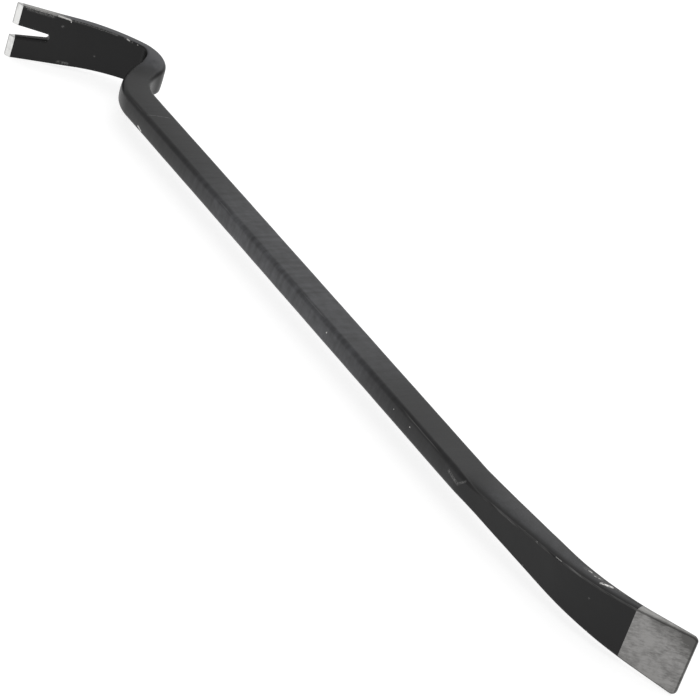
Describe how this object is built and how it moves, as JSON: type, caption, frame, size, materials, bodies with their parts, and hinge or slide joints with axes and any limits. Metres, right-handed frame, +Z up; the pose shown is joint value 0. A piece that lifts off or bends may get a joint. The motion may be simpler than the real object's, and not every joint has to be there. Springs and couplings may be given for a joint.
{
  "type": "wrecking bar",
  "caption": "Forged gooseneck wrecking bar with a slotted nail-pulling claw and a flat chisel blade, painted black with bare ground edges.",
  "frame": {"origin": "middle of the bounding box's base: the bar lies on its side, with the lower edges of the claw and the blade on the surface below", "axes": "+X along the shank towards the blade, +Z up across the width of the claw and the blade, and -Y the way the claw hooks"},
  "size_m": [0.6106, 0.0756, 0.035],
  "materials": {
    "black_paint": "satin black paint with a slight orange peel",
    "ground_steel": "bare steel, coarsely ground"
  },
  "bodies": {
    "root": {"prong_edge_upper": "ground_steel", "prong_edge_lower": "ground_steel", "claw_prong_upper": "black_paint", "claw_prong_lower": "black_paint", "claw_plate": "black_paint", "heel": "black_paint", "neck": "black_paint", "shank": "black_paint", "blade_taper": "black_paint", "blade_sweep": "black_paint", "blade_edge": "ground_steel"}
  },
  "joints": []
}
